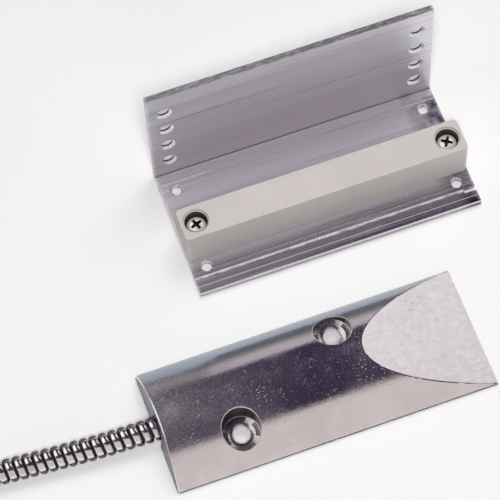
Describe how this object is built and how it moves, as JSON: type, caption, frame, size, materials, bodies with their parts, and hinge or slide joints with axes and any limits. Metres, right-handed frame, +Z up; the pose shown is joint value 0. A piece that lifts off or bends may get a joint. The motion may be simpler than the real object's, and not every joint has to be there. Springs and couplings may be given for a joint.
{
  "type": "overhead door contact sensor",
  "caption": "Floor-mount magnetic door contact: low arched metal switch housing with armoured cable, and a bar magnet in a plastic case screwed to an angle bracket.",
  "frame": {"origin": "on the surface that both units stand on, in the middle of their common footprint, the cable left out", "axes": "+X along both units' length from the cable end to the ramp end, +Y from the switch unit towards the bracket's upright leg, +Z up"},
  "size_m": [0.2787, 0.1264, 0.0499],
  "materials": {
    "polished_aluminium": "polished, fine scratches and specks",
    "mill_aluminium": "mill finish with extrusion lines along its length",
    "grey_plastic": "moulded, warm light grey, slightly satin",
    "black_plastic": "moulded nylon",
    "potting_resin": "poured epoxy, level and slightly glossy",
    "reed_glass": "clear drawn tube",
    "reed_metal": "nickel-iron strip, bright",
    "armour_steel": "rolled interlocked strip, bright",
    "plated_steel": "bright plated",
    "ferrite": "ground ferrite",
    "copper": "tinned and bare copper",
    "red_insulation": "extruded PVC",
    "black_insulation": "extruded PVC"
  },
  "bodies": {
    "switch_unit": {"switch_housing": "polished_aluminium", "potting_fill": "potting_resin", "cable_clamp": "black_plastic", "reed_carrier": "grey_plastic", "reed_glass": "reed_glass", "reed_blade_fixed": "reed_metal", "reed_lead_moving": "reed_metal", "splice_sleeve_a": "copper", "splice_sleeve_b": "copper", "core_wire_a": "red_insulation", "core_wire_b": "black_insulation", "armour_conduit": "armour_steel", "armour_coil": "armour_steel", "coil_tie": "black_plastic", "end_bushing": "red_insulation", "lead_red": "red_insulation", "lead_black": "black_insulation", "bare_end_red": "copper", "bare_end_black": "copper"},
    "reed_tongue": {"reed_blade_moving": "reed_metal"},
    "magnet_unit": {"angle_bracket": "mill_aluminium", "magnet_case": "grey_plastic", "magnet_potting": "potting_resin", "bar_magnet_left": "ferrite", "bar_magnet_right": "ferrite", "case_screw_left": "plated_steel", "case_screw_right": "plated_steel", "lock_washer_left": "plated_steel", "lock_washer_right": "plated_steel"}
  },
  "joints": [
    {"name": "door_lift", "type": "slide", "parent": "switch_unit", "child": "magnet_unit", "axis": [0, 0, 1], "range_m": [0, 0.12]},
    {"name": "reed_tongue_bend", "type": "hinge", "parent": "switch_unit", "child": "reed_tongue", "pos_m": [-0.01355, -0.0339, 0.00545], "axis": [0, 1, 0], "range_deg": [-1.8, 0], "stiffness_Nm_per_rad": 0.001}
  ]
}
